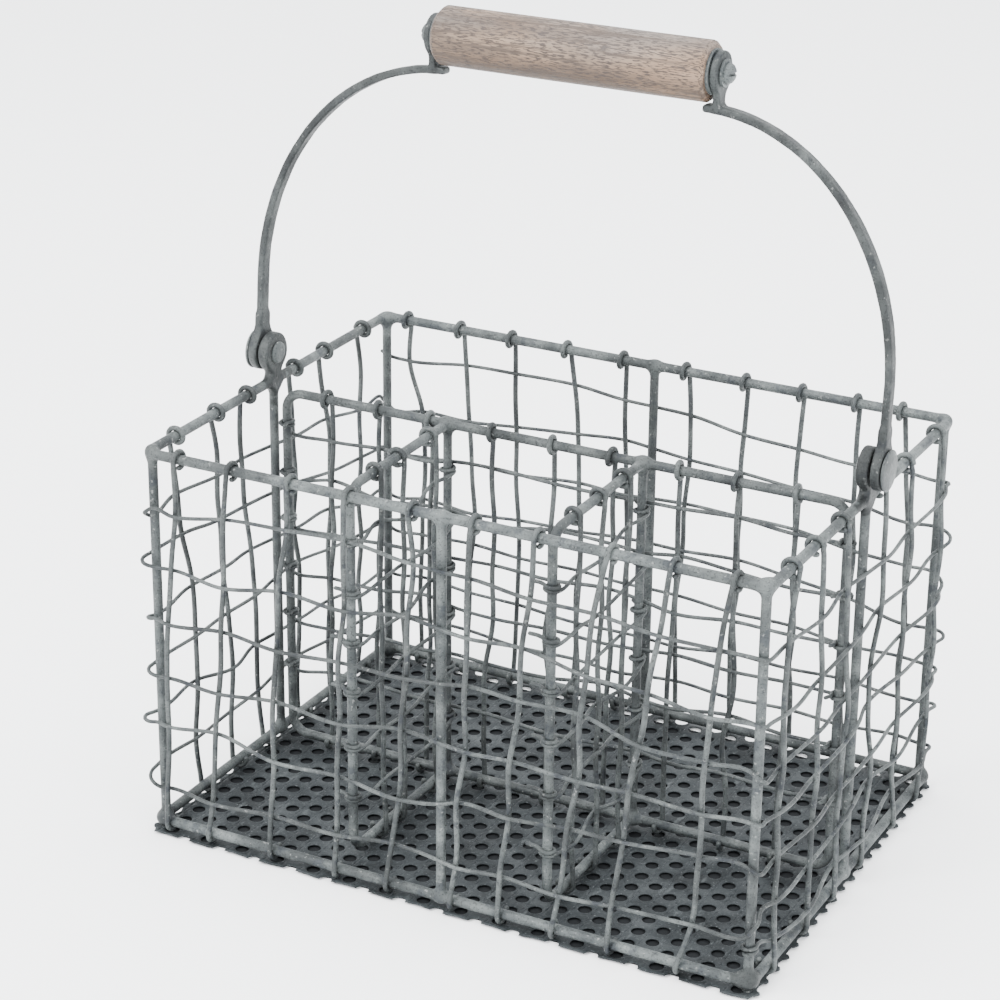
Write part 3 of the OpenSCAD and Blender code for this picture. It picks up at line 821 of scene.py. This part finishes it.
def tee(at, bar, post, seed):
    """Weld of a post onto a bar: bar and post are the directions they run in."""
    at, bar, post = (np.asarray(v, float) for v in (at, bar, post))
    rods = [(at - bar * 16, at + bar * 16, ROD_R), (at, at + post * 16, POST_R)]
    return knuckle(at, rods, 3.0, 8.5, seed)


corners = [(sx, sy) for sx in (-1, 1) for sy in (-1, 1)]
add_piece("weld_rim_corners", [top_corner(sx, sy, 3 * i + 1) for i, (sx, sy) in enumerate(corners)],
          ZINC_PAINTED_LIGHT_ROD)
add_piece("weld_floor_corners", [bottom_corner(sx, sy, 5 * i + 2, 0.5 if (sx, sy) == (1, -1) else 0.0)
                                 for i, (sx, sy) in enumerate(corners)], ZINC_PAINTED_SHADE_BAIL)
mid = []
for i, (x, y, bar) in enumerate([(0, -HALF_D, (1, 0, 0)), (0, HALF_D, (1, 0, 0)),
                                 (-HALF_W, 0, (0, 1, 0)), (HALF_W, 0, (0, 1, 0))]):
    mid.append(tee((x, y, LOW_Z), bar, (0, 0, 1), 40 + i))
    if i < 2:
        mid.append(tee((x, y, RIM_Z), bar, (0, 0, -1), 50 + i))
add_piece("weld_middle_posts", mid, ZINC_PAINTED_LIGHT_ROD)
ties = []
for i, s in enumerate(("left", "right")):
    x = SHORT_X[s]
    for z, way in ((DIV_Z, -1), (LOW_Z, 1)):
        rods = [((x - 16, 0, z), (x + 16, 0, z), POST_R), ((x, 0, z), (x, -16, z), POST_R),
                ((x, 0, z), (x, 0, z + way * 16), POST_R - 0.1)]
        ties.append(knuckle((x, 0, z), rods, 3.2, 8.5, 60 + 3 * i + way))
add_piece("weld_dividers", ties, ZINC_PAINTED_SHADE_INNER)


# Lugs and rivets ---------------------------------------

def disc_distance(p, centre, radius, half, edge):
    """Round-edged disc whose axis is X."""
    q = p - np.asarray(centre, float)
    a = np.hypot(q[..., 1], q[..., 2]) - (radius - edge)
    b = np.abs(q[..., 0]) - (half - edge)
    return np.minimum(np.maximum(a, b), 0) + np.hypot(np.maximum(a, 0), np.maximum(b, 0)) - edge


def lug(sx):
    """A bored eye on the rim, melted into the rim and the post under it."""
    x = sx * HALF_W
    half = (lug_hi[0] - lug_lo[0]) / 2
    radius = lug_hi[2] - PIVOT_Z

    def field(p):
        f = disc_distance(p, (x, 0, PIVOT_Z), radius - 0.1, half, 1.1)
        f = smin(f, rod_distance(p, (x, 0, PIVOT_Z - 4), (x, 0, RIM_Z + 1), 2.5), 3.0)
        f = smin(f, rod_distance(p, (x, -30, RIM_Z), (x, 30, RIM_Z), ROD_R), 5.5)
        f = smin(f, rod_distance(p, (x, 0, RIM_Z), (x, 0, RIM_Z - 30), POST_R), 4.0)
        d = np.linalg.norm((p - np.array([x, 0, PIVOT_Z - 6])) / np.array([20, 17, 22]), axis=-1)
        f = f + 0.14 * lumps(p, 3.4, 70 + sx) + 3.0 * np.clip(d - 0.86, 0, None) ** 1.5
        bore = np.hypot(p[..., 1], p[..., 2] - PIVOT_Z) - 3.05
        f = np.maximum(f, np.minimum(-bore, 9))
        return np.maximum(f, np.abs(p[..., 0] - x) - half + 0.02)

    return surface(field, (x - 4, -18, RIM_Z - 15), (x + 4, 18, PIVOT_Z + radius + 1), 0.45)


def on_pivot(shape, x, sx):
    """Turns a lathed shape on the bail's pivot so that its local +Z points outwards along sx*X."""
    v, f = shape
    out = np.stack([x + sx * v[:, 2], sx * v[:, 0], PIVOT_Z + v[:, 1]], 1)
    return out, (f if sx > 0 else [q[::-1] for q in f])


def peened(shape, amount, size, seed):
    """A hammered head: bumpy on top and a little out of round."""
    v, f = shape
    w = v.copy()
    w[:, 2] += amount * lumps(v, size, seed) * np.clip(v[:, 2] + 0.5, 0, 1)
    scale = 1 + OUT_OF_ROUND * np.sin(3 * np.arctan2(v[:, 1], v[:, 0]) + seed)
    w[:, :2] *= scale[:, None]
    return w, f


rivet_lo, rivet_hi = node_box("rivet_right")
OUT_OF_ROUND = 0.012
HEAD_R = (rivet_hi[1] - rivet_lo[1]) / 2 / (1 + OUT_OF_ROUND)
HEAD_TOP = rivet_hi[0]
for side, sx in (("left", -1), ("right", 1)):
    add_piece("lug_weld_" + side, [lug(sx)], ZINC_PAINTED_SHADE_LUG, nodes=["lug_" + side])
    head = lathe([(0.01, -1.55), (HEAD_R * 0.6, -1.55), (HEAD_R - 0.45, -1.5), (HEAD_R - 0.1, -1.25),
                  (HEAD_R, -0.95), (HEAD_R - 0.12, -0.66), (HEAD_R - 0.6, -0.42), (HEAD_R * 0.8, -0.2),
                  (HEAD_R * 0.6, -0.07), (HEAD_R * 0.4, 0.0), (HEAD_R * 0.2, 0.02), (0.01, 0.02)], 72)
    head = peened(head, 0.09, 2.2, 5 + sx)
    shank = lathe([(0.01, 0), (2.98, 0), (2.98, HEAD_TOP - HALF_W), (0.01, HEAD_TOP - HALF_W)], 32)
    shank = (shank[0] * np.array([1, 1, 0.92]), shank[1])
    tail = lathe([(0.01, 0.1), (2.2, 0.0), (3.6, 0.25), (4.5, 0.75), (4.8, 1.3), (4.75, 1.6),
                  (0.01, 1.6)], 40)
    add_piece("rivet_" + side + "_peened",
              [on_pivot(head, sx * HEAD_TOP, sx), on_pivot(shank, sx * (HALF_W - 3), sx),
               on_pivot(tail, sx * rivet_lo[0], sx)],
              ZINC_WORN_AND_PAINTED_BRIGHT, nodes=["rivet_" + side])


# Bail arms ---------------------------------------------

washer_lo, washer_hi = node_box("grip_washer_right")
STRAP_HALF = 2.0                    # half the strap's thickness at the rivet
TAB_HALF = 1.5                      # half the thickness of the tab on the grip's end
ARM_X = node_box("bail_arm_right")[1][0] - STRAP_HALF
STRAP_END = washer_lo[0] - TAB_HALF
CURVE_H = 98.0                      # rise of the strap's quarter ellipse
STRAP_Z = BAIL_RISE - 14.1
CURVE_Z = STRAP_Z - CURVE_H
TAB_X = washer_hi[0] + 0.2 + TAB_HALF


def arm_line():
    """Centreline of the strap in the bail's own plane, from the pivot to the grip."""
    straight = [(ARM_X, z) for z in np.linspace(0, CURVE_Z, 12)]
    bend = [(STRAP_END + (ARM_X - STRAP_END) * math.cos(a), CURVE_Z + CURVE_H * math.sin(a))
            for a in np.radians(np.linspace(0, 90, 90))[1:]]
    return np.array(straight + bend)


def arm(sx, seed):
    """A flat strap: an eye and a step at the rivet, a long curve, and a tab that the grip's screw holds."""
    line = arm_line()
    length = np.r_[0, np.cumsum(np.linalg.norm(np.diff(line, axis=0), axis=1))]

    def field(p):
        x, y, z = p[:, 0, :, 0], p[0, :, 0, 1], p[:, 0, :, 2]
        best = np.full(x.shape, 1e9)
        s = np.zeros(x.shape)
        for i in range(len(line) - 1):
            a, b = line[i], line[i + 1]
            d = b - a
            t = np.clip(((x - a[0]) * d[0] + (z - a[1]) * d[1]) / (d @ d), 0, 1)
            dx, dz = x - a[0] - t * d[0], z - a[1] - t * d[1]
            dist = np.hypot(dx, dz)
            near = dist < best
            best = np.where(near, dist, best)
            s = np.where(near, length[i] + t * (length[i + 1] - length[i]), s)
        step_up = 1 / (1 + np.exp((s - 17.0) / 0.45))
        hw = 3.05 + 0.75 * step_up + 0.15 * np.sin(s / 19 + seed)
        ht = 1.62 + 0.28 * step_up + 0.08 * np.sin(s / 13 + 2 * seed)
        edge = 1.05
        a = best[:, None, :] - (ht[:, None, :] - edge)
        b = np.abs(y)[None, :, None] - (hw[:, None, :] - edge)
        f = np.minimum(np.maximum(a, b), 0) + np.hypot(np.maximum(a, 0), np.maximum(b, 0)) - edge
        f = smin(f, disc_distance(p, (ARM_X, 0, 0), 8.5, STRAP_HALF, 0.9), 4.0)
        f = smin(f, disc_distance(p, (TAB_X, 0, BAIL_RISE), 8.4, TAB_HALF, 0.7), 1.5)
        q = p - np.array([TAB_X, 0, BAIL_RISE - 8])
        c = [np.abs(q[..., 0]) - 0.8, np.abs(q[..., 1]) - 2.6, np.abs(q[..., 2]) - 6.0]
        neck = np.linalg.norm(np.maximum(np.stack(c, -1), 0), axis=-1) \
            + np.minimum(np.maximum(np.maximum(c[0], c[1]), c[2]), 0) - 0.7
        f = smin(f, neck, 2.0)
        f = f + 0.11 * lumps(p, 3.2, seed) + 0.05 * lumps(p, 1.4, seed + 1)
        f = np.maximum(f, 3.05 - np.hypot(p[..., 1], p[..., 2]))
        screw = np.hypot(p[..., 1], p[..., 2] - BAIL_RISE)
        f = np.maximum(f, np.where(p[..., 0] < TAB_X + 4, 2.25 - screw, f))
        f = np.maximum(f, np.where(p[..., 2] < 12, np.abs(p[..., 0] - ARM_X) - STRAP_HALF, f))
        return np.maximum(f, np.where(p[..., 2] > BAIL_RISE - 11, np.abs(p[..., 0] - TAB_X) - TAB_HALF, f))

    v, f = surface(field, (STRAP_END - 1, -9.2, -9.5), (ARM_X + 3, 9.2, BAIL_RISE + 9.5), 0.55)
    c, s = math.cos(LEAN), math.sin(LEAN)
    y = v[:, 1] * c + v[:, 2] * s
    z = -v[:, 1] * s + v[:, 2] * c + PIVOT_Z
    v = np.stack([sx * v[:, 0], y, z], 1)
    return v, (f if sx > 0 else [q[::-1] for q in f])


for side, sx in (("left", -1), ("right", 1)):
    add_piece("bail_arm_strap_" + side, [arm(sx, 3 + sx)], ZINC_PAINTED_SHADE_BAIL, body="bail",
              nodes=["bail_arm_" + side])


# Grip --------------------------------------------------

grip_lo, grip_hi = node_box("grip")
GRIP_R = (grip_hi[2] - grip_lo[2]) / 2
GRIP_HALF = grip_hi[0]


def wooden_grip():
    """A turned cylinder with small chamfers, fine raised grain and two dents."""
    sides, steps = 160, 150
    angle = np.arange(sides) * TURN / sides
    grains = ((0.035, 23, 31, 1.0), (0.03, 41, 24, 2.2), (0.02, 67, 17, 0.4), (0.05, 3, 45, 0.0),
              (0.05, 5, 60, 3.0))
    xs = np.linspace(-GRIP_HALF, GRIP_HALF, steps)
    chamfer = 1.5
    rows = [(-GRIP_HALF, 2.4), (-GRIP_HALF, 5), (-GRIP_HALF, GRIP_R - chamfer)]
    rows += [(x, min(GRIP_R, GRIP_R - chamfer + (GRIP_HALF - abs(x)) * 1.05)) for x in xs]
    rows += [(GRIP_HALF, GRIP_R - chamfer), (GRIP_HALF, 5), (GRIP_HALF, 2.4)]
    verts = []
    for x, r in rows:
        grain = sum(a * np.sin(angle * k + x / l + ph) for a, k, l, ph in grains)
        dent = -0.18 * np.exp(-(((angle - 1.9) / 0.16) ** 2 + ((x - 21) / 5) ** 2)) \
            - 0.15 * np.exp(-(((angle - 3.6) / 0.2) ** 2 + ((x + 30) / 7) ** 2))
        rr = r + (grain - 0.07 + dent) * (r > 9)
        ring = [np.full(sides, x), GRIP_Y + rr * np.cos(angle), GRIP_Z + rr * np.sin(angle)]
        verts.append(np.stack(ring, 1))
    verts = np.vstack(verts + [[[-GRIP_HALF + 4, GRIP_Y, GRIP_Z]], [[GRIP_HALF - 4, GRIP_Y, GRIP_Z]]])
    return verts, shell_faces(len(rows), sides)


add_piece("wooden_grip", [wooden_grip()], WOOD, body="grip", nodes=["grip"])


# Floor sheet -------------------------------------------

HOLE_R = 2.75
PITCH = 10.0
COLUMN = PITCH * math.cos(math.radians(30))


def perforated_sheet():
    """Punched sheet cut through its outer holes, with sunk hole edges and a wavy border."""
    columns = int(round((sheet_hi[0] - 0.5) / COLUMN))
    edge_x, edge_y = columns * COLUMN, 100.0
    half_x, half_y = COLUMN / 2, PITCH / 2
    corners = [(x, y) for x in (-half_x, 0, half_x) for y in (-half_y, 0, half_y) if x or y]
    verts, faces, seen = [], [], {}

    def vertex(x, y, sink):
        key = (round(x * 200), round(y * 200))
        if key not in seen:
            seen[key] = len(verts)
            verts.append((x, y, sink))
        return seen[key]

    for i in range(-columns, columns + 1):
        for j in range(-11, 12):
            cx, cy = i * COLUMN, j * PITCH + (half_y if i % 2 else 0)
            if abs(cy) > edge_y + 0.1:
                continue
            hole = HOLE_R * (1 + 0.03 * math.sin(i * 1.7 + j * 2.3))
            marks = sorted({round(math.degrees(math.atan2(y, x)) % 360, 4) for x, y in corners})
            angles = []
            for a, b in zip(marks, marks[1:] + [marks[0] + 360]):
                angles += [a, (2 * a + b) / 3, (a + 2 * b) / 3]
            rings = []
            for a in angles:
                g = math.radians(a)
                c, s = math.cos(g), math.sin(g)
                reach = min(half_x / max(abs(c), 1e-6), half_y / max(abs(s), 1e-6))
                profile = ((hole, 0.42), (hole + 0.22, 0.2), (hole + 0.55, 0.06), (hole + 0.95, 0.0),
                           (reach, 0.0))
                rings.append([(cx + min(r, reach) * c, cy + min(r, reach) * s, sink) for r, sink in profile])
            for a in range(len(angles)):
                p, q = rings[a], rings[(a + 1) % len(angles)]
                middle = (p[-1][0] + q[-1][0]) / 2, (p[-1][1] + q[-1][1]) / 2
                if abs(middle[0]) > edge_x + 1e-3 or abs(middle[1]) > edge_y + 1e-3:
                    continue
                for k in range(4):
                    quad = [vertex(*p[k]), vertex(*p[k + 1]), vertex(*q[k + 1]), vertex(*q[k])]
                    if len(set(quad)) == 4:
                        faces.append(tuple(quad))
    v = np.array(verts)
    x, y, sink = v.T
    rim_x = np.clip((np.abs(x) - edge_x + 5) / 5, 0, 1)
    rim_y = np.clip((np.abs(y) - edge_y + 5) / 5, 0, 1)
    rim = np.maximum(rim_x, rim_y) ** 2
    wave = 0.35 + 0.35 * np.sin(x / 6.1 + 0.7) * np.sin(y / 7.3 + 1.1) + 0.25 * np.sin(x / 2.9 + y / 3.7)
    z = SHEET_T - sink + rim * 0.55 * wave
    tongue = np.abs((y - (half_y if columns % 2 else 0)) % PITCH - half_y) / (half_y - HOLE_R)
    x = x - np.sign(x) * 1.9 * np.clip(tongue, 0, 1) ** 2 * np.clip((np.abs(x) - edge_x + 2.2) / 2.2, 0, 1)
    x = x + rim_x * np.sign(x) * 0.35 * np.sin(y / 4.1) + 0.08 * np.sin(y / 2.7 + x / 9)
    y = y + rim_y * np.sign(y) * 0.40 * np.sin(x / 4.7 + 0.4) + 0.08 * np.sin(x / 3.1)
    return np.stack([x, y, z], 1), faces


sheet = add_piece("perforated_floor", [perforated_sheet()], SHEET, nodes=["base_sheet"])
thicken = sheet.modifiers.new("thickness", "SOLIDIFY")
thicken.thickness = (SHEET_T - 0.45) * MM
thicken.offset = -1


# Lit and shaded zinc copies for the CAD parts that stay as they are -------

# Each kept CAD part gets the zinc copy whose brightness paints how lit or shaded it is. Parts not listed get
# the brightest copy.
LIT_AND_SHADED_ZINC = {name: material for material, names in (
    (ZINC_PAINTED_LIGHT_ROD, "top_rim bottom_rod_front bottom_rod_right corner_post_front_left corner_post_front_right "
               "mid_post_front short_divider_frame_left short_divider_frame_right"),
    (ZINC_PAINTED_SHADE_BACK, "bottom_rod_back bottom_rod_left corner_post_back_left mid_post_back mid_post_left"),
    (ZINC_PAINTED_LIGHT_SIDE, "corner_post_back_right mid_post_right"),
    (ZINC_PAINTED_SHADE_INNER, "long_divider_frame divider_post_left divider_post_right"),
) for name in names.split()}
for name, obj in NODES.items():
    if obj.hide_render:
        continue
    material = LIT_AND_SHADED_ZINC.get(name, ZINC_WORN_AND_PAINTED_BRIGHT)
    if not obj.data.materials:
        obj.data.materials.append(material)
    for k in range(len(obj.data.materials)):
        obj.data.materials[k] = material
    obj.data.polygons.foreach_set("material_index", [0] * len(obj.data.polygons))


# Floor, light and camera -------------------------------

def floor_material():
    m, tree, shader = new_material("studio_floor")
    coords = node(tree, "ShaderNodeTexCoord")
    split = node(tree, "ShaderNodeSeparateXYZ")
    tree.links.new(coords.outputs["Object"], split.inputs["Vector"])

    def within(axis, half):
        size = node(tree, "ShaderNodeMath", operation="ABSOLUTE")
        tree.links.new(split.outputs[axis], size.inputs[0])
        less = node(tree, "ShaderNodeMath", operation="LESS_THAN")
        tree.links.new(size.outputs[0], less.inputs[0])
        less.inputs[1].default_value = half
        return less.outputs[0]

    # Painted shadow: the floor is painted near black in a rectangle under the crate's footprint, a contact
    # shadow that darkens the view through the sheet's holes.
    painted_shadow_mask = node(tree, "ShaderNodeMath", operation="MULTIPLY")
    tree.links.new(within("X", (sheet_hi[0] - 4) * MM), painted_shadow_mask.inputs[0])
    tree.links.new(within("Y", (sheet_hi[1] - 4) * MM), painted_shadow_mask.inputs[1])
    pale = mix(tree, noise(tree, 3, 2), (0.93, 0.935, 0.94), (0.95, 0.955, 0.955))
    tree.links.new(mix(tree, painted_shadow_mask.outputs[0], pale, (0.010, 0.011, 0.012)), shader.inputs["Base Color"])
    shader.inputs["Roughness"].default_value = 0.9
    shader.inputs["Specular IOR Level"].default_value = 0.08
    return m


floor_mesh = bpy.data.meshes.new("studio_floor")
FAR = 12.0                          # half the studio floor's width, in metres
floor_mesh.from_pydata([(-FAR, -FAR, 0), (FAR, -FAR, 0), (FAR, FAR, 0), (-FAR, FAR, 0)], [], [(0, 1, 2, 3)])
floor_mesh.materials.append(floor_material())
floor = bpy.data.objects.new("studio_floor", floor_mesh)
floor.location.z = -0.0004
bpy.context.scene.collection.objects.link(floor)

world = bpy.data.worlds.new("studio")
bpy.context.scene.world = world
world.use_nodes = True
sky = world.node_tree.nodes["Background"]
sky.inputs["Color"].default_value = (0.96, 0.98, 1.0, 1)
sky.inputs["Strength"].default_value = 3.2


def area_light(name, location, target, size, power):
    data = bpy.data.lights.new(name, "AREA")
    data.shape = "RECTANGLE"
    data.size, data.size_y, data.energy = size[0], size[1], power
    lamp = bpy.data.objects.new(name, data)
    back = np.array(location, float) - np.array(target, float)
    back /= np.linalg.norm(back)
    right = np.cross((0, 0, 1), back)
    right /= np.linalg.norm(right)
    up = np.cross(back, right)
    lamp.matrix_world = Matrix([[right[i], up[i], back[i], location[i]] for i in range(3)] + [[0, 0, 0, 1]])
    bpy.context.scene.collection.objects.link(lamp)


area_light("key", (-0.9, -1.5, 1.9), (0, 0, 0.12), (1.4, 1.0), 105)
area_light("fill", (1.8, -1.1, 1.0), (0, 0, 0.15), (1.2, 1.2), 34)
area_light("top", (0.2, 0.5, 2.2), (0, 0, 0.1), (1.6, 1.6), 55)

YAW, PITCH_DOWN, ROLL = (math.radians(a) for a in (27.57, 22.67, 0.59))
level = math.cos(PITCH_DOWN)
forward = np.array([-math.sin(YAW) * level, math.cos(YAW) * level, -math.sin(PITCH_DOWN)])
right = np.array([math.cos(YAW), math.sin(YAW), 0])
up = np.cross(right, forward)
right, up = math.cos(ROLL) * right + math.sin(ROLL) * up, -math.sin(ROLL) * right + math.cos(ROLL) * up
cam_data = bpy.data.cameras.new("camera")
cam_data.lens = 103.7
cam_data.sensor_width = 36
cam_data.clip_start, cam_data.clip_end = 0.05, 60
cam = bpy.data.objects.new("camera", cam_data)
place_at = (0.486, -0.979, 0.5994)
cam.matrix_world = Matrix([[right[i], up[i], -forward[i], place_at[i]] for i in range(3)] + [[0, 0, 0, 1]])
bpy.context.scene.collection.objects.link(cam)
bpy.context.scene.camera = cam

bpy.context.view_layer.update()
